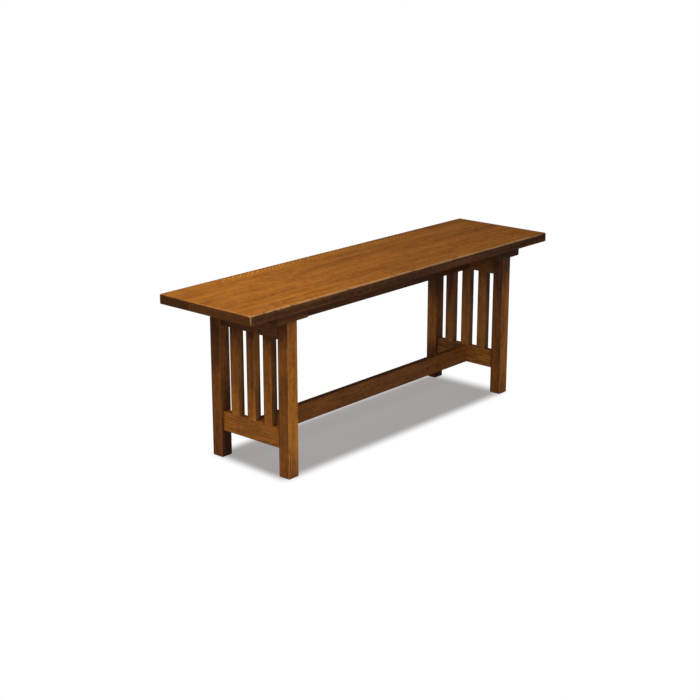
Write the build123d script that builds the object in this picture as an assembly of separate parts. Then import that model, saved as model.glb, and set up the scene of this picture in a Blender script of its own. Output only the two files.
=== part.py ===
"""Trestle bench in oak: a glued seat on two slatted end frames that two stretchers tie together.

Millimetres, +Z up. X runs along the bench and Y across it, with the front at -Y. The origin is on
the floor under the middle of the seat. Each piece is written to parts/NAME.step.
"""
import os

from build123d import *

# Seat: boards glued edge to edge, carried above the end frames by a cleat at each end
seat_length = 1219.2
seat_width = 317.5
seat_thickness = 25.4
seat_height = 457.2
seat_board_count = 3
seat_edge_radius = 4.0
seat_under_radius = 2.0
seat_corner_radius = 5.0

# Cleats: one lies across the top of each end frame
cleat_width = 108.0
cleat_thickness = 25.4
cleat_overhang = 3.2
cleat_edge_radius = 2.0
cleat_chamfer = 1.5

# End frames: two square legs, an upper and a lower rail, and slats between the rails
seat_end_overhang = 146.0
frame_depth = 273.0
leg_size = 34.9
leg_edge_radius = 2.2
foot_chamfer = 2.0
rail_thickness = 20.6
rail_height = 50.8
rail_edge_radius = 0.8
lower_rail_clearance = 73.0
slat_count = 3
slat_width = 28.6
slat_edge_radius = 1.2

# Stretchers: one between the lower rails and one between the upper rails
stretcher_thickness = 17.5
stretcher_edge_radius = 1.8

# Joints: every tenon has a glue line round it and a little room past its end
glue_line = 0.1
tenon_end_room = 0.8
rail_tenon_length = 22.2
rail_tenon_thickness = 10.3
rail_tenon_shoulder = 6.4
leg_tenon_length = 15.9
leg_tenon_thickness = 12.7
leg_tenon_inner_shoulder = 6.4
leg_tenon_outer_shoulder = 9.5
slat_tenon_length = 9.5
slat_tenon_thickness = 9.5
slat_tenon_shoulder = 3.2
stretcher_tenon_length = 12.7
stretcher_tenon_thickness = 9.5
stretcher_tenon_shoulder = 8.0
mortise_web = 4.0

# Screws: pan heads sunk in the cleats from below, in slots where the seat swells and shrinks
screw_bite = 15.8
screw_shank_diameter = 4.8
screw_head_diameter = 9.5
screw_head_height = 3.0
screw_head_chamfer = 1.2
screw_point_length = 5.0
screw_drive_width = 2.8
screw_drive_depth = 1.8
screw_fit = 0.4
screw_sink_depth = 9.5
screw_slot_travel = 5.0
pilot_clearance = 0.1
pilot_end_room = 1.5
cut_overrun = 1.0

# Levels
seat_underside = seat_height - seat_thickness
leg_shoulder_height = seat_underside - cleat_thickness
upper_rail_underside = leg_shoulder_height - rail_height
lower_rail_top = lower_rail_clearance + rail_height
screw_seat_z = leg_shoulder_height + screw_sink_depth
screw_length = seat_underside + screw_bite - screw_seat_z

# Places along the bench
frame_x = seat_length / 2 - seat_end_overhang - leg_size / 2
rail_inner_x = frame_x - rail_thickness / 2
screw_row_offset = (leg_size / 2 + cleat_width / 2) / 2

# Places across the bench
leg_y = (frame_depth - leg_size) / 2
leg_inner_y = leg_y - leg_size / 2
cleat_length = frame_depth + 2 * cleat_overhang
slat_gap = (2 * leg_inner_y - slat_count * slat_width) / (slat_count + 1)
board_width = seat_width / seat_board_count
screw_clear_of_stretcher = (stretcher_thickness + screw_head_diameter) / 2 + screw_fit

# Tenon sizes between their shoulders
rail_tenon_height = rail_height - 2 * rail_tenon_shoulder
slat_tenon_width = slat_width - 2 * slat_tenon_shoulder
leg_tenon_width = leg_size - leg_tenon_inner_shoulder - leg_tenon_outer_shoulder
leg_tenon_y = leg_y - (leg_tenon_outer_shoulder - leg_tenon_inner_shoulder) / 2

# A stretcher's tenon keeps a web of wood between itself and the slat that enters the same rail
stretcher_slat_shoulder = slat_tenon_length + tenon_end_room + mortise_web
stretcher_tenon_height = rail_height - stretcher_tenon_shoulder - stretcher_slat_shoulder
stretcher_tenon_drop = (stretcher_slat_shoulder - stretcher_tenon_shoulder) / 2

ENDS = {"left": -1, "right": 1}
FRONT = -1
BACK = 1


def row(count, pitch):
    """Evenly spaced places, centred on zero, from the front to the back."""
    return [(index - (count - 1) / 2) * pitch for index in range(count)]


def bar(size_x, size_y, size_z, middle):
    """A squared length of wood."""
    return Pos(*middle) * Box(size_x, size_y, size_z)


def eased(solid, axis, radius):
    """Rounds the arrises that run along one axis."""
    return fillet(solid.edges().filter_by(axis), radius)


def seat_slab():
    """The whole seat, rounded at its corners, round its top and more lightly underneath."""
    slab = bar(seat_length, seat_width, seat_thickness, (0, 0, seat_height - seat_thickness / 2))
    slab = eased(slab, Axis.Z, seat_corner_radius)
    slab = fillet(slab.faces().sort_by(Axis.Z)[-1].edges(), seat_edge_radius)
    return fillet(slab.faces().sort_by(Axis.Z)[0].edges(), seat_under_radius)


def screw_places(side):
    """The screws of one cleat, one to each board: x, y and how far the seat may move past it.

    The middle board is held fast from outside the frame, because the stretcher is in the way inside.
    The other boards are held from inside the frame, in slots that let the seat swell and shrink.
    """
    places = []
    for y in row(seat_board_count, board_width):
        held_fast = abs(y) < screw_clear_of_stretcher
        offset = screw_row_offset if held_fast else -screw_row_offset
        travel = 0 if held_fast else screw_slot_travel
        places.append((side * (frame_x + offset), y, travel))
    return places


def seat_board(slab, board_y):
    """One board of the seat, with the pilot holes for its screws."""
    middle = (0, board_y, seat_height - seat_thickness / 2)
    board = slab & bar(seat_length, board_width, seat_thickness, middle)
    radius = (screw_shank_diameter + pilot_clearance) / 2
    depth = screw_bite + pilot_end_room
    pilot = Pos(0, 0, seat_underside + depth / 2) * Cylinder(radius, depth)
    for side in ENDS.values():
        for x, y, _ in screw_places(side):
            if abs(y - board_y) < board_width / 2:
                board -= Pos(x, y, 0) * pilot
    return board


def slot_cut(place, width, bottom, top):
    """An upright hole, drawn out across the bench where its screw has to travel."""
    x, y, travel = place
    profile = Circle(width / 2)
    if travel > 0:
        profile = SlotCenterToCenter(travel, width, rotation=90)
    return Pos(x, y, bottom) * extrude(profile, top - bottom)


def cleat(side):
    """The bearer on an end frame, mortised for the legs and sunk from below for the screws."""
    middle = (side * frame_x, 0, leg_shoulder_height + cleat_thickness / 2)
    body = bar(cleat_width, cleat_length, cleat_thickness, middle)
    body = eased(body, Axis.Z, cleat_edge_radius)
    body = chamfer(body.faces().sort_by(Axis.Z)[0].edges(), cleat_chamfer)
    size_x = leg_tenon_thickness + 2 * glue_line
    size_y = leg_tenon_width + 2 * glue_line
    depth = leg_tenon_length + tenon_end_room
    for end_y in (FRONT, BACK):
        place = (side * frame_x, end_y * leg_tenon_y, leg_shoulder_height + depth / 2)
        body -= bar(size_x, size_y, depth, place)
    below = leg_shoulder_height - cut_overrun
    above = seat_underside + cut_overrun
    for place in screw_places(side):
        body -= slot_cut(place, screw_head_diameter + 2 * screw_fit, below, screw_seat_z)
        body -= slot_cut(place, screw_shank_diameter + screw_fit, below, above)
    return body


def rail_levels():
    """The middle heights of the lower and the upper rails."""
    return (lower_rail_clearance + rail_height / 2, upper_rail_underside + rail_height / 2)


def leg(side, end_y):
    """A square leg with a stub tenon on top and a mortise for each rail."""
    x = side * frame_x
    post = bar(leg_size, leg_size, leg_shoulder_height, (x, end_y * leg_y, leg_shoulder_height / 2))
    post = eased(post, Axis.Z, leg_edge_radius)
    post = chamfer(post.faces().sort_by(Axis.Z)[0].edges(), foot_chamfer)
    stub_middle = (x, end_y * leg_tenon_y, leg_shoulder_height + leg_tenon_length / 2)
    post += bar(leg_tenon_thickness, leg_tenon_width, leg_tenon_length, stub_middle)
    depth = rail_tenon_length + tenon_end_room
    size_x = rail_tenon_thickness + 2 * glue_line
    size_z = rail_tenon_height + 2 * glue_line
    for z in rail_levels():
        post -= bar(size_x, depth, size_z, (x, end_y * (leg_inner_y + depth / 2), z))
    return post


def end_rail(side, z, slat_edge):
    """A rail between two legs. slat_edge is 1 where slats enter its top, -1 where its underside."""
    x = side * frame_x
    rail = bar(rail_thickness, 2 * leg_inner_y, rail_height, (x, 0, z))
    rail = eased(rail, Axis.Y, rail_edge_radius)
    tenon_span = 2 * (leg_inner_y + rail_tenon_length)
    rail += bar(rail_tenon_thickness, tenon_span, rail_tenon_height, (x, 0, z))
    size_x = slat_tenon_thickness + 2 * glue_line
    size_y = slat_tenon_width + 2 * glue_line
    depth = slat_tenon_length + tenon_end_room
    for y in row(slat_count, slat_width + slat_gap):
        rail -= bar(size_x, size_y, depth, (x, y, z + slat_edge * (rail_height - depth) / 2))
    reach = stretcher_tenon_length + tenon_end_room
    size_y = stretcher_tenon_thickness + 2 * glue_line
    size_z = stretcher_tenon_height + 2 * glue_line
    middle = (side * (rail_inner_x + reach / 2), 0, z - slat_edge * stretcher_tenon_drop)
    return rail - bar(reach, size_y, size_z, middle)


def slat(side, y):
    """An upright slat, planed flush with the rails, with a stub tenon at each end."""
    span = upper_rail_underside - lower_rail_top
    middle = (side * frame_x, y, lower_rail_top + span / 2)
    body = eased(bar(rail_thickness, slat_width, span, middle), Axis.Z, slat_edge_radius)
    return body + bar(slat_tenon_thickness, slat_tenon_width, span + 2 * slat_tenon_length, middle)


def stretcher(z, slat_edge):
    """A long rail between the end frames, tenoned into their rails clear of the middle slat."""
    body = bar(2 * rail_inner_x, stretcher_thickness, rail_height, (0, 0, z))
    body = eased(body, Axis.X, stretcher_edge_radius)
    tenon_span = 2 * (rail_inner_x + stretcher_tenon_length)
    middle = (0, 0, z - slat_edge * stretcher_tenon_drop)
    return body + bar(tenon_span, stretcher_tenon_thickness, stretcher_tenon_height, middle)


def wood_screw():
    """A pan-head wood screw, point up, with the bearing face of its head at the origin."""
    head = Pos(0, 0, -screw_head_height / 2) * Cylinder(screw_head_diameter / 2, screw_head_height)
    head = chamfer(head.edges().sort_by(Axis.Z)[0], screw_head_chamfer)
    drive_middle = (0, 0, screw_drive_depth / 2 - screw_head_height)
    head -= bar(screw_drive_width, screw_drive_width, screw_drive_depth, drive_middle)
    shank_length = screw_length - screw_point_length
    shank = Pos(0, 0, shank_length / 2) * Cylinder(screw_shank_diameter / 2, shank_length)
    point_z = shank_length + screw_point_length / 2
    point = Pos(0, 0, point_z) * Cone(screw_shank_diameter / 2, 0, screw_point_length)
    return head + shank + point


def seat_screws(side):
    """The screws that hold the seat down on one cleat, as separate solids."""
    screw = wood_screw()
    return Compound([Pos(x, y, screw_seat_z) * screw for x, y, _ in screw_places(side)])


def seat_pieces():
    """The seat's boards, numbered from the front."""
    slab = seat_slab()
    places = row(seat_board_count, board_width)
    return {f"seat_board_{number}": seat_board(slab, y) for number, y in enumerate(places, 1)}


def end_pieces(end, side):
    """One end frame with its cleat and screws. Its slats are numbered from the front."""
    lower_z, upper_z = rail_levels()
    nodes = {
        f"cleat_{end}": cleat(side),
        f"seat_screws_{end}": seat_screws(side),
        f"leg_front_{end}": leg(side, FRONT),
        f"leg_back_{end}": leg(side, BACK),
        f"lower_rail_{end}": end_rail(side, lower_z, 1),
        f"upper_rail_{end}": end_rail(side, upper_z, -1),
    }
    for number, y in enumerate(row(slat_count, slat_width + slat_gap), 1):
        nodes[f"slat_{end}_{number}"] = slat(side, y)
    return nodes


def main():
    """Builds every piece and writes it to its own file."""
    lower_z, upper_z = rail_levels()
    nodes = seat_pieces()
    for end, side in ENDS.items():
        nodes.update(end_pieces(end, side))
    nodes["lower_stretcher"] = stretcher(lower_z, 1)
    nodes["upper_stretcher"] = stretcher(upper_z, -1)
    os.makedirs("parts", exist_ok=True)
    for name, solid in nodes.items():
        export_step(solid, f"parts/{name}.step")


main()
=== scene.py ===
"""A slatted trestle bench in stained oak: its finishes, and the studio that it stands in.

Lengths are metres. The bench runs along X with its left end at -X, and its front is at -Y.
"""

import math

import bmesh
import bpy
from mathutils import Euler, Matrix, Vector


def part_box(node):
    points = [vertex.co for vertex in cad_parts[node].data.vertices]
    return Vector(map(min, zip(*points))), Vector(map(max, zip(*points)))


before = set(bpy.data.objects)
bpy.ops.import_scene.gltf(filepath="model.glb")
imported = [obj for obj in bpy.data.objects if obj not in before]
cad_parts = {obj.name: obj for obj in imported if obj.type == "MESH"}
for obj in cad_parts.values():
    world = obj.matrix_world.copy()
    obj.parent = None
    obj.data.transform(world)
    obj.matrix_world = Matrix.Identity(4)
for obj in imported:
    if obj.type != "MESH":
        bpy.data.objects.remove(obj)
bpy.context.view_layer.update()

# The bench's own pieces
SEAT_BOARDS = ["seat_board_1", "seat_board_2", "seat_board_3"]
LEGS = ["leg_front_left", "leg_back_left", "leg_front_right", "leg_back_right"]
SCREWS = ["seat_screws_left", "seat_screws_right"]

# Growth rings. Early wood is at its fullest and ends at these shares of a ring, and late wood has a
# share of its pores
ring_width = 0.0034
coarse_ring_width = 0.0060
ring_wander = 0.012
ring_taper = 0.012
early_wood_full = 0.10
early_wood_end = 0.62
late_wood_pores = 0.25
faintest_ring = 0.30

# Ray flakes. How far a flake's body and the gap beside it lie from its middle line is given in pitches
flake_pitch = 0.0150
flake_slant = -1.4
flake_drift = 3.0
flake_body = (0.32, 0.08)
flake_gap = (0.30, 0.46)
faintest_flake = 0.30
# How square a face stands to the rays: from where no flake shows, to where they show in full
quartersawn_face = (0.50, 0.24)

# Noises: cells per metre along, across and through the wood, then detail and roughness
ring_bends = ((2.6, 11, 11), 2.0, 0.5)
ring_quivers = ((9, 60, 60), 2.0, 0.5)
vessels = ((55, 1500, 1500), 1.0, 0.5)
flake_drifts = ((15, 32, 32), 3.0, 0.6)
flake_breaks = ((22, 60, 60), 3.0, 0.65)
long_streaks = ((1.3, 42, 42), 3.0, 0.55)
fibre_bundles = ((11, 170, 170), 5.0, 0.65)
stain_clouds = ((9, 40, 40), 3.0, 0.6)
stain_mottle = ((70, 100, 100), 3.0, 0.65)
streak_sways = ((1.7, 5, 5), 1.0, 0.5)
arris_rubs = ((22, 22, 22), 3.0, 0.6)
steel_patches = ((260, 260, 260), 3.0, 0.5)
steel_turnings = ((300, 300, 4200), 1.0, 0.5)

# Where a noise starts to show, and where it shows in full
vessels_showing = (0.54, 0.68)
flakes_showing = (0.36, 0.56)
rubs_showing = (0.30, 0.66)
edge_streaks_showing = (0.32, 0.66)
noise_range = (0.30, 0.70)
fibre_range = (0.25, 0.75)
dullness_range = (0.2, 0.8)

# Colours of the stained oak, linear: on all pieces, then on the flats of the seat and of the frame.
# Below those is how strongly clouds, mottle and fibres show there
STAINS = {
    "pore": (0.060, 0.020, 0.0070, 1),
    "flake": (0.640, 0.285, 0.0350, 1),
    # Pale arrises, for wear and a painted highlight
    "worn": (0.560, 0.300, 0.1200, 1),
    # The seat's front and back faces take these darker colours
    "edge_light": (0.128, 0.050, 0.0207, 1),
    "edge_dark": (0.050, 0.020, 0.0103, 1),
    "end_light": (0.100, 0.036, 0.0135, 1),
    "end_dark": (0.052, 0.020, 0.0088, 1),
}
SEAT_STAIN = {
    "light": (0.420, 0.148, 0.0190, 1),
    "dark": (0.200, 0.060, 0.0090, 1),
    "cloudiness": 0.90,
    "mottling": 1.5,
    "fibrousness": 0.5,
}
FRAME_STAIN = {
    "light": (0.430, 0.157, 0.0265, 1),
    "dark": (0.165, 0.054, 0.0170, 1),
    "cloudiness": 1.0,
    "mottling": 1.25,
    "fibrousness": 0.95,
}

# How deep the stain lies, from 0 for the light colour to 1 for the dark one, and what the figure adds
flat_face_depth = 0.17
end_grain_depth = 0.45
streak_depths = (-0.05, 0.40)
fibre_depths = (-0.30, 0.30)
cloud_depths = (-0.30, 0.30)
mottle_depths = (-0.20, 0.20)
seat_streak_depths = (-0.22, 0.22)
ring_depth = 0.4

# How much shows of the pore colour in a pore, the dark one beside a flake and the pale one on an arris,
# for wear and a painted highlight
pore_share = 0.6
flake_gap_share = 0.7
worn_and_highlight_share = 0.52

# A line of tones stays below this one
strongest_tone = 2.4

# Blue follows a face's tone only to this power, so that darker faces, darkened by stain and painted
# shade, are bluer. A step of coolness, a painted tint of the light on a face, raises the green and the
# blue by these shares
shaded_blue_power = 0.45
cool_green = 0.09
cool_blue = 0.28

# The wood's relief, in which a pore is 1 deep. Then its roughness, which pores raise and wear lowers
relief_depth = 0.0003
relief_strength = 0.5
fibre_height = 0.35
wood_roughness = (0.42, 0.58)
pore_roughness = 0.16
worn_smoothness = 0.08

# The varnish's gloss on flat faces. Arrises have a share of it, and so have the frame's faces that look
# up under the seat. A pore loses a share, and where the seat's arrises show wear and painted highlight
# the polish adds to it
seat_gloss = 0.032
frame_gloss = 0.110
arris_gloss = 0.15
top_gloss = 0.15
pore_dullness = 0.7
seat_polish = 0.26
varnish_roughness = 0.30

# The strip along an arris painted pale, for wear and a painted highlight, and how far down from the top
# the upright corners show it. The seat's arrises are rounder, and the frame's show it all the way down
SEAT_WEAR_AND_HIGHLIGHT = {"reach": 0.0068, "corner_drop": 0.026}
FRAME_WEAR_AND_HIGHLIGHT = {"reach": 0.0034, "corner_drop": 4.0}
# The strip has this share of its width where it was rubbed least, and is bare up to this share of it
least_rub = 0.25
bare_share = 0.30
# The seat's left end shows only a share of the wear and painted highlight, but for its front corner, and
# the back shows none. The strips start at the left end and at the front edge, and the fading is a place
# across the seat
seat_end_wear_and_highlight = 0.28
seat_end_strip = (0.005, 0.009)
seat_front_strip = (0.012, 0.004)
seat_wear_and_highlight_fades = (0.080, 0.140)

# Painted shade along the far edges of the frame's faces, wider on the slats' fronts and hardly at all on
# the front left leg's, and a darker strip along the top of the seat's back edge
edge_shade_reach = 0.0058
slat_edge_shade_reach = 0.0110
hairline_shade_reach = 0.001
edge_shade_tone = 0.38
seat_back_strip = (0.146, 0.157)
seat_back_tone = 0.50

# Places along the seat where its flakes come up, and where they fade
seat_flakes_rise = (-0.53, -0.42)
seat_flakes_fade = (0.44, 0.26)

# How dark the seat is from front to back: a place across it, and 0 for pale to 1 for dark
seat_streaks = [(-0.160, 0.50), (-0.112, 0.36), (-0.072, 0.66), (-0.030, 0.28), (0.012, 0.36),
                (0.045, 0.64), (0.070, 0.44), (0.090, 0.42), (0.122, 0.02), (0.145, 0.12), (0.160, 0.85)]
seat_streak_sway = 0.022
# The streaks behind the middle lean towards the front at the right end
seat_streak_lean = 0.07
leaning_streaks = (0.0, 0.05)

# How far a face is turned that way: from where it doesn't count as one, to where it counts in full
left_or_front_face = (-0.3, -0.7)
upper_face = (0.4, 0.9)
long_edge_face = (0.25, 0.75)
end_grain_face = (0.55, 0.95)
flat_face = (0.94, 0.995)
upright_corner = (0.98, 0.85)
clear_of_underside = (-0.20, -0.05)
upper_arris = (0.05, 0.35)


# Wiring shader nodes

def by_name(sockets):
    """Sockets under their names in lower case, with _ for a space."""
    return {socket.name.lower().replace(" ", "_"): socket for socket in sockets}


class Wiring:
    """Adds nodes to one tree.

    Each call gives the socket that it makes, and takes sockets or plain values.
    """

    def __init__(self, tree):
        self.tree = tree

    def feed(self, socket, value):
        if isinstance(value, bpy.types.NodeSocket):
            self.tree.links.new(value, socket)
        else:
            socket.default_value = value

    def node(self, kind, **settings):
        made = self.tree.nodes.new(kind)
        for name, value in settings.items():
            setattr(made, name, value)
        return made

    def maths(self, operation, *values, clamp=False):
        made = self.node("ShaderNodeMath", operation=operation, use_clamp=clamp)
        for socket, value in zip(made.inputs, values):
            self.feed(socket, value)
        return made.outputs[0]

    def times(self, first, second):
        return self.maths("MULTIPLY", first, second)

    def total(self, *values):
        """The sum of several values, kept between 0 and 1."""
        so_far = values[0]
        for value in values[1:-1]:
            so_far = self.maths("ADD", so_far, value)
        return self.maths("ADD", so_far, values[-1], clamp=True)

    def vector_maths(self, operation, *values):
        made = self.node("ShaderNodeVectorMath", operation=operation)
        for socket, value in zip(made.inputs, values):
            self.feed(socket, value)
        return made.outputs["Value" if operation in ("LENGTH", "DOT_PRODUCT") else "Vector"]

    def split(self, vector):
        made = self.node("ShaderNodeSeparateXYZ")
        self.feed(made.inputs[0], vector)
        return made.outputs[0], made.outputs[1], made.outputs[2]

    def join(self, x, y, z):
        made = self.node("ShaderNodeCombineXYZ")
        for socket, value in zip(made.inputs, (x, y, z)):
            self.feed(socket, value)
        return made.outputs[0]

    def ramp(self, value, start, end, low=0.0, high=1.0, smooth=True):
        """Low up to start, high from end on, and in between a straight or a smooth rise."""
        kind = "SMOOTHSTEP" if smooth else "LINEAR"
        made = self.node("ShaderNodeMapRange", interpolation_type=kind)
        for name, setting in (("Value", value), ("From Min", start), ("From Max", end),
                              ("To Min", low), ("To Max", high)):
            self.feed(made.inputs[name], setting)
        return made.outputs["Result"]

    def between(self, low, high, share):
        """Low where the share is 0, high where it is 1, and straight in between."""
        return self.ramp(share, 0.0, 1.0, low, high, smooth=False)

    def noise(self, place, per_metre, detail, roughness):
        """Noise from 0 to 1, with its own count of cells per metre along X, Y and Z."""
        made = self.node("ShaderNodeTexNoise", noise_dimensions="3D")
        self.feed(made.inputs["Vector"], self.vector_maths("MULTIPLY", place, per_metre))
        made.inputs["Scale"].default_value = 1.0
        made.inputs["Detail"].default_value = detail
        made.inputs["Roughness"].default_value = roughness
        return made.outputs[0]

    def swing(self, place, per_metre, detail, roughness):
        """The same noise, from -0.5 to 0.5."""
        return self.maths("SUBTRACT", self.noise(place, per_metre, detail, roughness), 0.5)

    def chance(self, number):
        """A random value from 0 to 1 for each whole number."""
        made = self.node("ShaderNodeTexWhiteNoise", noise_dimensions="1D")
        self.feed(made.inputs["W"], self.maths("FLOOR", number))
        return made.outputs["Value"]

    def mix(self, amount, first, second, blend="MIX"):
        made = self.node("ShaderNodeMix", data_type="RGBA", blend_type=blend)
        colours = [socket for socket in made.inputs if socket.type == "RGBA"]
        self.feed(made.inputs[0], amount)
        self.feed(colours[0], first)
        self.feed(colours[1], second)
        return [socket for socket in made.outputs if socket.type == "RGBA"][0]

    def profile(self, value, start, end, points):
        """A smooth line through points: a place between start and end, and a height from 0 to 1."""
        made = self.node("ShaderNodeFloatCurve")
        line = made.mapping.curves[0]
        line.points[0].location = (0, points[0][1])
        line.points[1].location = (1, points[-1][1])
        for place, height in points[1:-1]:
            line.points.new((place - start) / (end - start), height)
        made.mapping.update()
        self.feed(made.inputs["Value"], self.ramp(value, start, end, smooth=False))
        return made.outputs[0]

    def group(self, tree, **values):
        """A node group, and what it is given by name."""
        made = self.node("ShaderNodeGroup")
        made.node_tree = tree
        sockets = by_name(made.inputs)
        for name, value in values.items():
            self.feed(sockets[name], value)
        return made.outputs

    def relief(self, height, depth, strength):
        """The normals of a surface with this height."""
        made = self.node("ShaderNodeBump")
        made.inputs["Strength"].default_value = strength
        made.inputs["Distance"].default_value = depth
        self.feed(made.inputs["Height"], height)
        return made.outputs["Normal"]


FLOAT = "NodeSocketFloat"
VECTOR = "NodeSocketVector"
COLOUR = "NodeSocketColor"


def sockets_of(kind, *labels):
    """Labels that share one kind of socket."""
    return [(label, kind) for label in labels]


def new_group(name, inputs, outputs):
    """A node group, its wiring, the sockets that it is given and the sockets that it fills."""
    tree = bpy.data.node_groups.new(name, "ShaderNodeTree")
    for label, kind in inputs:
        tree.interface.new_socket(name=label, in_out="INPUT", socket_type=kind)
    for label, kind in outputs:
        tree.interface.new_socket(name=label, in_out="OUTPUT", socket_type=kind)
    wires = Wiring(tree)
    given = wires.node("NodeGroupInput").outputs
    result = wires.node("NodeGroupOutput").inputs
    return tree, wires, given, result


def new_material(name):
    """A material, its wiring and its Principled shader."""
    material = bpy.data.materials.new(name)
    material.use_nodes = True
    return material, Wiring(material.node_tree), material.node_tree.nodes["Principled BSDF"]


def box_of(nodes):
    """The lowest and highest corners of several nodes together."""
    corners = [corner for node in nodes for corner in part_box(node)]
    low = Vector([min(corner[axis] for corner in corners) for axis in range(3)])
    high = Vector([max(corner[axis] for corner in corners) for axis in range(3)])
    return low, high


# Effects that the materials share

def make_oak_figure():
    """The figure of oak. The grain runs along X, and the heart of the log is the X axis."""
    tree, wires, given, result = new_group(
        "oak_figure",
        sockets_of(VECTOR, "Place", "Facing")
        + sockets_of(FLOAT, "Ring Width", "Wander", "Flake Pitch", "Flake Slant"),
        sockets_of(FLOAT, "Rings", "Pores", "Flakes", "Between Flakes", "Streaks", "Fibres", "Clouds",
                   "Mottle"),
    )
    maths = wires.maths
    times = wires.times
    place = given["Place"]
    along, across, through = wires.split(place)

    # Distance from the heart, in rings that wander along the board
    from_heart = wires.join(0, across, through)
    radius = wires.vector_maths("LENGTH", from_heart)
    bend = times(wires.swing(place, *ring_bends), given["Wander"])
    quiver = times(wires.swing(place, *ring_quivers), given["Ring Width"])
    shifted = maths("ADD", radius, maths("ADD", bend, quiver))
    tapered = maths("ADD", shifted, times(along, ring_taper))
    ring = maths("DIVIDE", tapered, given["Ring Width"])
    in_ring = maths("FRACT", ring)
    early = times(wires.ramp(in_ring, 0.0, early_wood_full),
                  wires.ramp(in_ring, early_wood_end, early_wood_full))
    strength = wires.between(faintest_ring, 1.0, wires.chance(ring))
    wires.feed(result["Rings"], times(early, strength))

    # Open pores, thickest in the early wood
    open_vessels = wires.ramp(wires.noise(place, *vessels), *vessels_showing)
    crowd = wires.between(late_wood_pores, 1.0, early)
    wires.feed(result["Pores"], times(open_vessels, crowd))

    # Flakes lie across the grain where the surface runs along the rays
    outward = wires.vector_maths("NORMALIZE", from_heart)
    across_rays = maths("ABSOLUTE", wires.vector_maths("DOT_PRODUCT", outward, given["Facing"]))
    leaning = maths("ADD", along, times(radius, given["Flake Slant"]))
    drift = times(wires.noise(place, *flake_drifts), flake_drift)
    sheet = maths("ADD", maths("DIVIDE", leaning, given["Flake Pitch"]), drift)
    from_middle = maths("ABSOLUTE", maths("SUBTRACT", maths("FRACT", sheet), 0.5))
    broken = wires.ramp(wires.noise(place, *flake_breaks), *flakes_showing)
    shown = times(broken, wires.ramp(across_rays, *quartersawn_face))
    body = times(wires.ramp(from_middle, *flake_body), shown)
    wires.feed(result["Flakes"], times(body, wires.between(faintest_flake, 1.0, wires.chance(sheet))))
    wires.feed(result["Between Flakes"], times(wires.ramp(from_middle, *flake_gap), shown))

    # Streaks the length of a board, bundles of fibres, and where the stain was wiped unevenly
    wires.feed(result["Streaks"], wires.noise(place, *long_streaks))
    wires.feed(result["Fibres"], wires.noise(place, *fibre_bundles))
    wires.feed(result["Clouds"], wires.noise(place, *stain_clouds))
    wires.feed(result["Mottle"], wires.noise(place, *stain_mottle))
    return tree


def make_seat_streaks():
    """The broad streaks along the seat, from its front edge to its back edge: 0 is pale and 1 dark."""
    tree, wires, given, result = new_group(
        "seat_streaks", sockets_of(VECTOR, "Place"), sockets_of(FLOAT, "Depth"))
    low, high = box_of(SEAT_BOARDS)
    x, y = wires.split(given["Place"])[:2]
    sway = wires.times(wires.swing(given["Place"], *streak_sways), seat_streak_sway)
    lean = wires.times(x, wires.ramp(y, *leaning_streaks, 0.0, seat_streak_lean))
    across = wires.maths("ADD", wires.maths("ADD", y, lean), sway)
    wires.feed(result["Depth"], wires.profile(across, low.y, high.y, seat_streaks))
    return tree


def make_arris_wear_and_highlight():
    """How much wear and painted highlight a spot has: near an edge of the piece's box, where it is round
    or looks up.
    """
    tree, wires, given, result = new_group(
        "worn_arris",
        sockets_of(VECTOR, "Place", "Facing", "Centre", "Half Size")
        + sockets_of(FLOAT, "Reach", "Corner Drop", "Amount"),
        sockets_of(FLOAT, "Wear"),
    )
    maths = wires.maths
    times = wires.times

    # The second smallest distance to the sides of the box is the distance to an edge
    from_centre = wires.vector_maths("SUBTRACT", given["Place"], given["Centre"])
    from_centre = wires.vector_maths("ABSOLUTE", from_centre)
    inside_x, inside_y, inside_z = wires.split(
        wires.vector_maths("SUBTRACT", given["Half Size"], from_centre))
    nearer = maths("MINIMUM", inside_x, inside_y)
    farther = maths("MAXIMUM", inside_x, inside_y)
    to_edge = maths("MAXIMUM", nearer, maths("MINIMUM", farther, inside_z))
    rub = wires.ramp(wires.noise(given["Place"], *arris_rubs), *rubs_showing, least_rub, 1.0)
    in_strip = maths("DIVIDE", to_edge, times(given["Reach"], rub))

    # Upright corners show wear and highlight down to the corner drop, and nothing shows underneath
    level = wires.split(given["Facing"])[2]
    turned_x, turned_y = wires.split(wires.vector_maths("ABSOLUTE", given["Facing"]))[:2]
    flatness = maths("MAXIMUM", turned_x, turned_y)
    corner = times(wires.ramp(flatness, *upright_corner), wires.ramp(level, *clear_of_underside))
    top = wires.split(wires.vector_maths("ADD", given["Centre"], given["Half Size"]))[2]
    drop = maths("SUBTRACT", top, wires.split(given["Place"])[2])
    corner = times(corner, wires.ramp(maths("DIVIDE", drop, given["Corner Drop"]), 1.0, bare_share))
    exposed = maths("MAXIMUM", corner, wires.ramp(level, *upper_arris))
    wear = times(wires.ramp(in_strip, 1.0, bare_share), exposed)
    wires.feed(result["Wear"], times(wear, given["Amount"]))
    return tree


def make_edge_shade_line():
    """Painted shade along the far edges of a piece's left and front faces: 1 at the edge."""
    tree, wires, given, result = new_group(
        "stain_line",
        sockets_of(VECTOR, "Place", "Facing", "High Corner")
        + sockets_of(FLOAT, "Left Reach", "Front Reach"),
        sockets_of(FLOAT, "Line"),
    )
    to_corner = wires.vector_maths("SUBTRACT", given["High Corner"], given["Place"])
    to_right, to_back = wires.split(to_corner)[:2]
    turned_x, turned_y = wires.split(given["Facing"])[:2]
    left_edge = wires.ramp(to_back, given["Left Reach"], 0.0)
    front_edge = wires.ramp(to_right, given["Front Reach"], 0.0)
    on_left = wires.times(wires.ramp(turned_x, *left_or_front_face), left_edge)
    on_front = wires.times(wires.ramp(turned_y, *left_or_front_face), front_edge)
    wires.feed(result["Line"], wires.maths("MAXIMUM", on_left, on_front))
    return tree


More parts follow.
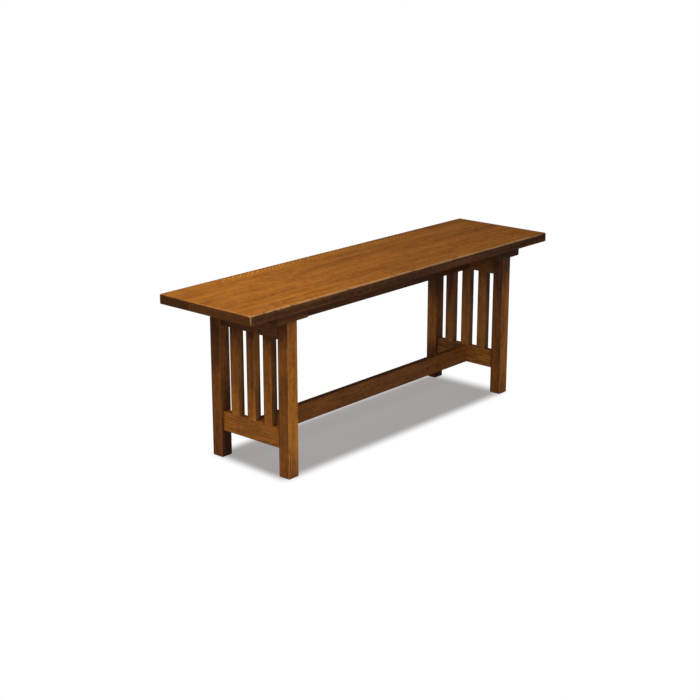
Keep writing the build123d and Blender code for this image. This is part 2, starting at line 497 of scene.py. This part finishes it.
def make_face_stain_and_shade():
    """How dark a face is: its stain, and painted light and shade by how it faces. Faces towards +X, +Y
    and -Z share one tone.
    """
    tree, wires, given, result = new_group(
        "face_tone",
        sockets_of(VECTOR, "Facing") + sockets_of(FLOAT, "Left", "Front", "Top", "Others"),
        sockets_of(FLOAT, "Tone"),
    )
    maths = wires.maths
    towards = wires.split(wires.vector_maths("MULTIPLY", given["Facing"], (-1, -1, 1)))
    shares = wires.split(wires.vector_maths("MULTIPLY", given["Facing"], given["Facing"]))
    tone = 0.0
    for direction, share, name in zip(towards, shares, ("Left", "Front", "Top")):
        seen = maths("GREATER_THAN", direction, 0.0)
        own_tone = maths("SUBTRACT", given[name], given["Others"])
        own_tone = maths("MULTIPLY_ADD", own_tone, seen, given["Others"])
        tone = maths("MULTIPLY_ADD", share, own_tone, tone)
    wires.feed(result["Tone"], tone)
    return tree


def make_oak_stain_and_shade():
    """The stain over the figure, times the face's tone of stain and painted light and shade."""
    tree, wires, given, result = new_group(
        "oak_stain",
        sockets_of(FLOAT, "Rings", "Pores", "Flakes", "Between Flakes", "Streaks", "Fibres", "Clouds",
                   "Mottle", "Extra Depth", "Wear", "Long Edge", "End Grain", "Cloudiness", "Mottling",
                   "Fibrousness", "Figure", "Flake Strength", "Tone", "Coolness")
        + sockets_of(COLOUR, "Light", "Dark", "Pore", "Flake", "Worn", "Edge Light", "Edge Dark",
                     "End Light", "End Dark"),
        [("Colour", COLOUR), ("Roughness", FLOAT), ("Gloss", FLOAT), ("Height", FLOAT)],
    )
    maths = wires.maths
    times = wires.times

    # How deep the stain lies on the flat faces, with the figure over it
    streaky = wires.ramp(given["Streaks"], *noise_range, *streak_depths, smooth=False)
    fibrous = wires.ramp(given["Fibres"], *fibre_range, *fibre_depths, smooth=False)
    fibrous = times(fibrous, given["Fibrousness"])
    cloudy = wires.ramp(given["Clouds"], *noise_range, *cloud_depths, smooth=False)
    cloudy = times(cloudy, given["Cloudiness"])
    mottled = wires.ramp(given["Mottle"], *noise_range, *mottle_depths, smooth=False)
    mottled = times(mottled, given["Mottling"])
    ringed = times(times(given["Rings"], given["Figure"]), ring_depth)
    depth = wires.total(flat_face_depth, streaky, fibrous, cloudy, mottled, ringed, given["Extra Depth"])
    colour = wires.mix(depth, given["Light"], given["Dark"])
    flaky = times(given["Flakes"], given["Flake Strength"])
    between_flakes = times(given["Between Flakes"], given["Flake Strength"])
    colour = wires.mix(flaky, colour, given["Flake"])
    colour = wires.mix(times(between_flakes, flake_gap_share), colour, given["Dark"])
    colour = wires.mix(times(given["Pores"], pore_share), colour, given["Pore"])

    # Long edges, end grain, and arrises painted pale for wear and a highlight
    edge_depth = wires.total(wires.ramp(given["Streaks"], *edge_streaks_showing), fibrous, mottled)
    edge = wires.mix(edge_depth, given["Edge Light"], given["Edge Dark"])
    colour = wires.mix(given["Long Edge"], colour, edge)
    end_depth = wires.total(end_grain_depth, fibrous, mottled, ringed)
    end = wires.mix(end_depth, given["End Light"], given["End Dark"])
    colour = wires.mix(given["End Grain"], colour, end)
    colour = wires.mix(times(given["Wear"], worn_and_highlight_share), colour, given["Worn"])

    # The face's tone: stain with painted light and shade, and a painted tint of the light
    greener = maths("MULTIPLY_ADD", given["Coolness"], cool_green, 1.0)
    bluer = maths("MULTIPLY_ADD", given["Coolness"], cool_blue, 1.0)
    blue_tone = maths("POWER", given["Tone"], shaded_blue_power)
    tone = wires.join(given["Tone"], times(given["Tone"], greener), times(blue_tone, bluer))
    wires.feed(result["Colour"], wires.mix(1.0, colour, tone, blend="MULTIPLY"))

    # Pores are rough and dull and lie deepest
    rough = wires.ramp(given["Clouds"], *dullness_range, *wood_roughness, smooth=False)
    rough = maths("ADD", rough, times(given["Pores"], pore_roughness))
    wires.feed(result["Roughness"], maths("SUBTRACT", rough, times(given["Wear"], worn_smoothness)))
    wires.feed(result["Gloss"], maths("SUBTRACT", 1.0, times(given["Pores"], pore_dullness)))
    wires.feed(result["Height"], maths("SUBTRACT", times(given["Fibres"], fibre_height), given["Pores"]))
    return tree


# The finishes

# How a piece's grain turns to lie along the log
GRAIN_TURNS = {
    "X": Euler((0, 0, 0)),
    "Y": Euler((0, 0, -math.pi / 2)),
    "Z": Euler((0, math.pi / 2, 0)),
}

OAK_FIGURE = make_oak_figure()
SEAT_STREAKS = make_seat_streaks()
ARRIS_WEAR_AND_HIGHLIGHT = make_arris_wear_and_highlight()
EDGE_SHADE_LINE = make_edge_shade_line()
FACE_STAIN_AND_SHADE = make_face_stain_and_shade()
OAK_STAIN_AND_SHADE = make_oak_stain_and_shade()


def tone_line(wires, position, tones):
    """One tone, or a smooth line of (place along the grain, tone) pairs."""
    if isinstance(tones, float):
        return tones
    points = [(place, tone / strongest_tone) for place, tone in tones]
    line = wires.profile(position, tones[0][0], tones[-1][0], points)
    return wires.times(line, strongest_tone)


def in_the_log(wires, source, node, grain, cut):
    """The place and the direction of each spot of a piece, as they were in the log."""
    low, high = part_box(node)
    turn = GRAIN_TURNS[grain]
    place = wires.node("ShaderNodeMapping", vector_type="POINT")
    place.inputs["Rotation"].default_value = turn
    place.inputs["Location"].default_value = Vector(cut) - turn.to_matrix() @ ((low + high) / 2)
    wires.feed(place.inputs["Vector"], source["Object"])
    facing = wires.node("ShaderNodeMapping", vector_type="VECTOR")
    facing.inputs["Rotation"].default_value = turn
    wires.feed(facing.inputs["Vector"], source["Normal"])
    return place.outputs[0], facing.outputs[0]


def seat_wear_and_highlight(wires, x, y, low, wear):
    """The wear and painted highlight that show on the seat."""
    end_start, end_stop = seat_end_strip
    front_start, front_stop = seat_front_strip
    past_end = wires.ramp(x, low.x + end_start, low.x + end_stop, seat_end_wear_and_highlight, 1.0)
    at_front = wires.ramp(y, low.y + front_start, low.y + front_stop, seat_end_wear_and_highlight, 1.0)
    rubbed = wires.maths("MAXIMUM", past_end, at_front)
    rubbed = wires.times(rubbed, wires.ramp(y, *seat_wear_and_highlight_fades, 1.0, 0.0))
    return wires.times(wear, rubbed)


def oak(node, grain, cut, left=1.0, front=1.0, top=1.0, others=1.0, left_cool=0.0, front_cool=0.0,
        wear=0.0, figure=0.9, flakes=0.15, rings=ring_width, front_edge=edge_shade_reach, seat=False):
    """Stained oak for one piece, with its grain along one axis.

    The cut is where the piece's middle lay in the log: along, across and through. Left, front, top and
    others are how dark the faces are, stain with painted light and shade: a tone, or pairs of a place
    along the grain and a tone. The left and the front faces can be cooler than the rest, or warmer where
    the step is below 0, a painted tint of the light on them.
    """
    material, wires, shader = new_material(f"stained_oak_{node}")
    source = wires.node("ShaderNodeTexCoord").outputs
    place = source["Object"]
    facing = source["Normal"]
    coordinates = wires.split(place)
    towards = wires.split(facing)
    turned = wires.split(wires.vector_maths("ABSOLUTE", facing))
    axis = "XYZ".index(grain)
    low, high = box_of(SEAT_BOARDS if seat else [node])

    log_place, log_facing = in_the_log(wires, source, node, grain, cut)
    drawn = wires.group(OAK_FIGURE, place=log_place, facing=log_facing, ring_width=rings,
                        wander=ring_wander, flake_pitch=flake_pitch, flake_slant=flake_slant)
    worn = wires.group(ARRIS_WEAR_AND_HIGHLIGHT, place=place, facing=facing, centre=(low + high) / 2,
                       half_size=(high - low) / 2, amount=wear, **(SEAT_WEAR_AND_HIGHLIGHT if seat else FRAME_WEAR_AND_HIGHLIGHT))
    tone = wires.group(FACE_STAIN_AND_SHADE, facing=facing, others=others,
                       left=tone_line(wires, coordinates[axis], left),
                       front=tone_line(wires, coordinates[axis], front),
                       top=tone_line(wires, coordinates[axis], top))["Tone"]
    coolness = wires.maths("ADD", wires.ramp(towards[0], *left_or_front_face, 0.0, left_cool),
                           wires.ramp(towards[1], *left_or_front_face, 0.0, front_cool))
    gloss = wires.ramp(wires.maths("MAXIMUM", wires.maths("MAXIMUM", turned[0], turned[1]), turned[2]),
                       *flat_face, arris_gloss, 1.0)
    if seat:
        x, y = coordinates[:2]
        # Wear and a painted highlight on the seat's arrises, strongest at the front and the left end
        wear_and_highlight_seen = seat_wear_and_highlight(wires, x, y, low, worn["Wear"])
        long_edge = wires.ramp(turned[1], *long_edge_face)
        streaks = wires.group(SEAT_STREAKS, place=place)["Depth"]
        extra_depth = wires.between(*seat_streak_depths, streaks)
        # A darker strip along the top of the seat's back edge
        at_back = wires.times(wires.ramp(y, *seat_back_strip), turned[2])
        tone = wires.times(tone, wires.between(1.0, seat_back_tone, at_back))
        flakes_seen = wires.times(wires.ramp(x, *seat_flakes_rise), wires.ramp(x, *seat_flakes_fade))
        flakes = wires.times(flakes_seen, flakes)
        polish = wires.maths("MULTIPLY_ADD", wear_and_highlight_seen, seat_polish, wires.times(gloss, seat_gloss))
    else:
        wear_and_highlight_seen = worn["Wear"]
        long_edge = 0.0
        extra_depth = 0.0
        # Painted shade along the far edges of the left and front faces
        line = wires.group(EDGE_SHADE_LINE, place=place, facing=facing, high_corner=high,
                           left_reach=edge_shade_reach, front_reach=front_edge)["Line"]
        tone = wires.times(tone, wires.ramp(line, 0.0, 1.0, 1.0, edge_shade_tone))
        gloss = wires.times(gloss, wires.ramp(towards[2], *upper_face, 1.0, top_gloss))
        polish = wires.times(gloss, frame_gloss)
    stained = wires.group(
        OAK_STAIN_AND_SHADE, **by_name(drawn), **STAINS, **(SEAT_STAIN if seat else FRAME_STAIN),
        extra_depth=extra_depth, wear=wear_and_highlight_seen, long_edge=long_edge,
        end_grain=wires.ramp(turned[axis], *end_grain_face), figure=figure, flake_strength=flakes,
        tone=tone, coolness=coolness)

    wires.feed(shader.inputs["Base Color"], stained["Colour"])
    wires.feed(shader.inputs["Roughness"], stained["Roughness"])
    wires.feed(shader.inputs["Normal"], wires.relief(stained["Height"], relief_depth, relief_strength))
    wires.feed(shader.inputs["Coat Weight"], wires.times(polish, stained["Gloss"]))
    shader.inputs["Coat Roughness"].default_value = varnish_roughness
    shader.inputs["Specular IOR Level"].default_value = 0.0
    return material


# The screws' steel, with the fine lines that turning left on it
bright_steel = (0.62, 0.60, 0.56, 1)
dull_steel = (0.40, 0.39, 0.37, 1)
steel_roughness = (0.28, 0.48)
turning_depth = 0.0001
turning_strength = 0.3


def screw_steel():
    """Bright zinc-plated steel, dulled in patches."""
    material, wires, shader = new_material("screw_steel")
    place = wires.node("ShaderNodeTexCoord").outputs["Object"]
    patches = wires.noise(place, *steel_patches)
    turnings = wires.noise(place, *steel_turnings)
    wires.feed(shader.inputs["Base Color"], wires.mix(patches, bright_steel, dull_steel))
    wires.feed(shader.inputs["Roughness"], wires.ramp(patches, *noise_range, *steel_roughness))
    wires.feed(shader.inputs["Normal"], wires.relief(turnings, turning_depth, turning_strength))
    shader.inputs["Metallic"].default_value = 1.0
    return material


def finish_node(node, material):
    """Puts a finish on a piece's own material slots."""
    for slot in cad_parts[node].material_slots:
        slot.link = "OBJECT"
        slot.material = material


def stain_piece(node, grain, cut, **finish):
    """Gives one piece its own stained oak."""
    finish_node(node, oak(node, grain, cut, **finish))


# The seat's boards, from the front one back: the cut, the tone of the left end and how its flakes show
board_finishes = [
    ((0.4, 0.055, 0.085), 1.88, 0.15),
    ((2.1, 0.100, 0.060), 1.90, 0.20),
    ((4.7, 0.040, 0.012), 1.22, 1.0),
]
# The seat's face tones, here and for the left end above, are stain with painted light and shade; the
# front is painted lighter towards the left end
seat_front = [(-0.61, 1.56), (-0.52, 1.66), (-0.42, 1.80), (-0.30, 1.28), (-0.18, 1.46), (-0.06, 1.06),
              (0.06, 0.96), (0.18, 1.18), (0.30, 1.02), (0.42, 1.08), (0.54, 1.16), (0.61, 1.14)]
seat_top = [(-0.61, 0.90), (-0.50, 0.95), (-0.36, 0.98), (-0.20, 0.89), (0.05, 0.84), (0.25, 0.88),
            (0.61, 0.91)]
for board, (cut, left_end, flakes) in zip(SEAT_BOARDS, board_finishes):
    stain_piece(board, "X", cut, left=left_end, front=seat_front, top=seat_top, others=1.4,
                front_cool=0.6, wear=1.0, figure=0.5, flakes=flakes, seat=True)

# The cleats and the upper rails. Their tones are stain with painted shade, darker under the seat
stain_piece("cleat_left", "Y", (7.0, 0.060, 0.110), left=0.28, front=1.9, others=0.7, front_cool=1.2)
stain_piece("cleat_right", "Y", (8.0, 0.060, 0.110), left=0.35, front=0.78, others=0.7)
stain_piece("upper_rail_left", "Y", (16.3, 0.120, 0.050), others=0.8,
            left=[(-0.12, 0.62), (0.0, 0.51), (0.06, 0.34), (0.11, 0.25)])
stain_piece("upper_rail_right", "Y", (16.8, 0.120, 0.050), left=0.71, others=0.8, left_cool=1.0)

# The slats, numbered from the front: the cut, and how dark the left and the front face are from the
# lower rail up, stain with painted shade that deepens under the seat. The last one is cut near the
# heart, so that its flakes show
slat_finishes = {
    "slat_left_1": (
        (20.6, 0.067, 0.067),
        [(0.12, 1.32), (0.18, 1.40), (0.25, 1.24), (0.31, 1.14), (0.35, 0.42)],
        [(0.12, 1.10), (0.18, 0.76), (0.23, 1.12), (0.30, 0.90), (0.35, 0.60)]),
    "slat_left_2": (
        (21.2, 0.089, 0.049),
        [(0.12, 1.80), (0.18, 1.60), (0.22, 0.95), (0.30, 0.88), (0.35, 0.36)],
        [(0.12, 1.12), (0.18, 0.90), (0.24, 1.54), (0.30, 1.28), (0.35, 1.20)]),
    "slat_left_3": (
        (21.8, 0.111, 0.031),
        [(0.12, 1.50), (0.18, 1.28), (0.22, 0.88), (0.30, 0.92), (0.35, 0.36)],
        [(0.12, 1.45), (0.18, 0.96), (0.24, 1.46), (0.30, 1.30), (0.35, 0.92)]),
    "slat_right_1": (
        (22.9, 0.067, 0.067),
        [(0.12, 1.26), (0.20, 1.30), (0.26, 1.12), (0.35, 0.96)],
        [(0.12, 0.46), (0.20, 0.88), (0.26, 0.62), (0.30, 0.44), (0.35, 0.50)]),
    "slat_right_2": (
        (23.5, 0.089, 0.049),
        [(0.12, 1.22), (0.24, 1.12), (0.30, 0.94), (0.35, 0.64)],
        [(0.12, 0.58), (0.20, 0.62), (0.25, 0.72), (0.30, 0.38), (0.35, 0.48)]),
    "slat_right_3": (
        (24.1, 0.004, 0.034),
        [(0.12, 1.10), (0.18, 1.02), (0.26, 0.80), (0.30, 0.50), (0.35, 0.18)],
        [(0.12, 0.42), (0.18, 0.60), (0.22, 0.52), (0.26, 0.68), (0.35, 0.72)]),
}
for slat, (cut, left, front) in slat_finishes.items():
    # Painted tints of the light: the left frame's slats warmer on their left faces, the right frame's
    # cooler
    left_cool = -0.8 if slat.startswith("slat_left") else 0.9
    stain_piece(slat, "Z", cut, left=left, front=front, left_cool=left_cool, front_cool=1.2, wear=1.0,
                front_edge=slat_edge_shade_reach)

# The lower rails, the legs and the stretchers. Their tones are stain with painted light and shade:
# lighter on the front legs' fronts, darker under the seat, behind the lower stretcher and low on the
# back legs
stain_piece("lower_rail_left", "Y", (15.0, 0.120, 0.050), top=1.9, left_cool=-0.3, wear=0.2,
            left=[(-0.12, 1.66), (-0.02, 1.24), (0.02, 1.24), (0.06, 1.50), (0.10, 1.50)])
stain_piece("lower_rail_right", "Y", (15.5, 0.120, 0.050), left_cool=1.0, wear=0.2,
            left=[(-0.12, 1.26), (0.0, 1.20), (0.025, 0.46), (0.06, 0.78), (0.10, 0.62)])
stain_piece("leg_front_left", "Z", (10.0, 0.036, 0.006), left_cool=-0.8, front_cool=-0.2, wear=1.2,
            figure=1.1, rings=coarse_ring_width, front_edge=hairline_shade_reach,
            left=[(0.0, 1.28), (0.05, 1.24), (0.10, 0.94), (0.16, 0.92), (0.25, 0.94), (0.31, 1.34),
                  (0.35, 0.84), (0.39, 0.54)],
            front=[(0.0, 1.00), (0.06, 1.46), (0.10, 1.76), (0.14, 1.62), (0.18, 1.34), (0.23, 1.42),
                   (0.30, 1.34), (0.36, 1.20), (0.42, 0.80)])
stain_piece("leg_back_left", "Z", (10.9, 0.090, 0.040), left_cool=-1.3, front_cool=0.8, wear=1.0,
            left=[(0.0, 0.64), (0.12, 0.74), (0.18, 0.72), (0.21, 0.82), (0.26, 0.42), (0.30, 0.42),
                  (0.34, 0.32), (0.42, 0.50)],
            front=[(0.0, 0.26), (0.07, 0.34), (0.13, 0.66), (0.18, 0.68), (0.25, 1.14), (0.30, 1.06),
                   (0.42, 1.14)])
stain_piece("leg_front_right", "Z", (11.8, 0.060, 0.100), wear=0.8,
            left=[(0.0, 0.90), (0.06, 0.86), (0.11, 0.76), (0.24, 0.74), (0.30, 0.52), (0.34, 0.36),
                  (0.38, 0.42)],
            front=[(0.0, 0.88), (0.10, 1.26), (0.18, 1.06), (0.28, 1.00), (0.34, 0.70), (0.38, 0.32)])
stain_piece("leg_back_right", "Z", (12.7, 0.110, 0.030), front_cool=0.4, wear=0.3,
            left=[(0.0, 0.24), (0.07, 0.27), (0.10, 0.55), (0.14, 1.06), (0.19, 1.10), (0.25, 0.72),
                  (0.30, 0.38), (0.34, 0.30)],
            front=[(0.0, 0.22), (0.10, 0.34), (0.18, 0.80), (0.22, 0.94), (0.27, 0.42), (0.34, 0.38)])
stain_piece("lower_stretcher", "X", (26.0, 0.030, 0.120), others=0.8, front_cool=-0.3,
            front=[(-0.43, 0.93), (-0.18, 0.74), (0.10, 0.64), (0.30, 0.64), (0.43, 0.78)],
            top=[(-0.43, 0.34), (-0.20, 0.28), (0.20, 0.27), (0.43, 0.52)])
stain_piece("upper_stretcher", "X", (27.5, 0.030, 0.120), top=0.5, others=0.7,
            front=[(-0.43, 0.24), (-0.30, 0.25), (-0.19, 0.41), (0.10, 0.37), (0.32, 0.33),
                   (0.43, 0.56)])

steel = screw_steel()
for node in SCREWS:
    finish_node(node, steel)


# The studio

def seen_directly(wires):
    """1 for camera, glossy and transmission rays, which see the white background, 0 for the rest."""
    path = wires.node("ShaderNodeLightPath").outputs
    seen = wires.maths("MAXIMUM", path["Is Camera Ray"], path["Is Glossy Ray"])
    return wires.maths("MAXIMUM", seen, path["Is Transmission Ray"])


# The floor's own tone, the grey of a painted shadow that shows under the bench, and the bench's share of
# real shadow in it
floor_reach = 40.0
floor_tone = 0.62
painted_shadow_colour = (0.327, 0.311, 0.307, 1)
shadow_share = 0.12
# Where the painted shadow starts past the legs on each side, and how wide it gathers from there
painted_shadow_edges = {
    "left": (0.0272, 0.049),
    "right": (0.0303, 0.077),
    "front": (0.0208, 0.052),
    "back": (0.0261, 0.050),
}
# How much the painted shadow's left edge slants
painted_shadow_slant = 0.06


def make_floor():
    """A pale floor: white all round, and under the bench a painted shadow of even grey, with some real
    shadow.
    """
    mesh = bpy.data.meshes.new("studio_floor")
    shape = bmesh.new()
    bmesh.ops.create_grid(shape, x_segments=1, y_segments=1, size=floor_reach)
    shape.to_mesh(mesh)
    shape.free()
    floor = bpy.data.objects.new("studio_floor", mesh)
    bpy.context.scene.collection.objects.link(floor)
    material = bpy.data.materials.new("studio_floor")
    material.use_nodes = True
    material.node_tree.nodes.clear()
    wires = Wiring(material.node_tree)

    low, high = box_of(LEGS)
    x, y = wires.split(wires.node("ShaderNodeTexCoord").outputs["Object"])[:2]
    beyond_legs = {
        "left": wires.maths("SUBTRACT", low.x, wires.maths("MULTIPLY_ADD", y, -painted_shadow_slant, x)),
        "right": wires.maths("SUBTRACT", x, high.x),
        "front": wires.maths("SUBTRACT", low.y, y),
        "back": wires.maths("SUBTRACT", y, high.y),
    }
    inside = 1.0
    for side, beyond in beyond_legs.items():
        start, width = painted_shadow_edges[side]
        inside = wires.times(inside, wires.ramp(beyond, start, start - width))
    outside = wires.maths("SUBTRACT", 1.0, inside)

    seen = seen_directly(wires)
    tone = wires.between(floor_tone, shadow_share, seen)
    lit = wires.node("ShaderNodeBsdfDiffuse")
    wires.feed(lit.inputs["Color"], wires.join(tone, tone, tone))
    # The painted shadow: an even grey glow that directly seen rays find under the bench
    painted_shadow_glow = wires.node("ShaderNodeEmission")
    painted_shadow_glow.inputs["Color"].default_value = painted_shadow_colour
    wires.feed(painted_shadow_glow.inputs["Strength"], seen)
    shadow_painted_and_real = wires.node("ShaderNodeAddShader")
    wires.feed(shadow_painted_and_real.inputs[0], lit.outputs[0])
    wires.feed(shadow_painted_and_real.inputs[1], painted_shadow_glow.outputs[0])
    white = wires.node("ShaderNodeEmission")
    white.inputs["Strength"].default_value = 1.0
    joined = wires.node("ShaderNodeMixShader")
    wires.feed(joined.inputs[0], wires.times(seen, outside))
    wires.feed(joined.inputs[1], shadow_painted_and_real.outputs[0])
    wires.feed(joined.inputs[2], white.outputs[0])
    wires.feed(wires.node("ShaderNodeOutputMaterial").inputs["Surface"], joined.outputs[0])
    mesh.materials.append(material)


def make_world(fill):
    """A white surround that lights the bench only as much as the fill says."""
    world = bpy.data.worlds.new("studio")
    bpy.context.scene.world = world
    world.use_nodes = True
    wires = Wiring(world.node_tree)
    background = world.node_tree.nodes["Background"]
    level = wires.between(fill, 1.0, seen_directly(wires))
    wires.feed(background.inputs["Color"], wires.join(level, level, level))
    background.inputs["Strength"].default_value = 1.0


softbox_side = 0.9


def softbox(name, watts, place, target):
    """A square soft lamp that faces a point of the bench and isn't seen itself."""
    lamp = bpy.data.lights.new(name, "AREA")
    lamp.shape = "SQUARE"
    lamp.size = softbox_side
    lamp.energy = watts
    holder = bpy.data.objects.new(name, lamp)
    holder.location = place
    holder.rotation_euler = (Vector(target) - Vector(place)).to_track_quat("-Z", "Y").to_euler()
    holder.visible_camera = False
    bpy.context.scene.collection.objects.link(holder)


bench_middle = (0, 0, 0.3)
left_of_middle = (-0.2, 0, 0.3)

make_floor()
make_world(fill=0.156)
softbox("top_softbox", watts=15.5, place=(-0.8, 0.3, 1.8), target=left_of_middle)
softbox("front_softbox", watts=16.0, place=(-0.6, -1.4, 1.9), target=left_of_middle)
softbox("left_softbox", watts=6.5, place=(-2.2, 0.0, 1.8), target=bench_middle)


# The camera, where the photograph was taken from

image_side = 700
focal_pixels = 1464.085
camera_place = (-2.917826, -2.488509, 1.364598)
camera_turn = math.radians(48.764)
camera_dip = math.radians(16.811)

lens = bpy.data.cameras.new("camera")
lens.sensor_width = 36.0
lens.lens = lens.sensor_width * focal_pixels / image_side
camera = bpy.data.objects.new("camera", lens)
camera.location = camera_place
camera.rotation_euler = (math.pi / 2 - camera_dip, 0, -camera_turn)
bpy.context.scene.collection.objects.link(camera)
bpy.context.scene.camera = camera
bpy.context.scene.view_settings.view_transform = "Standard"
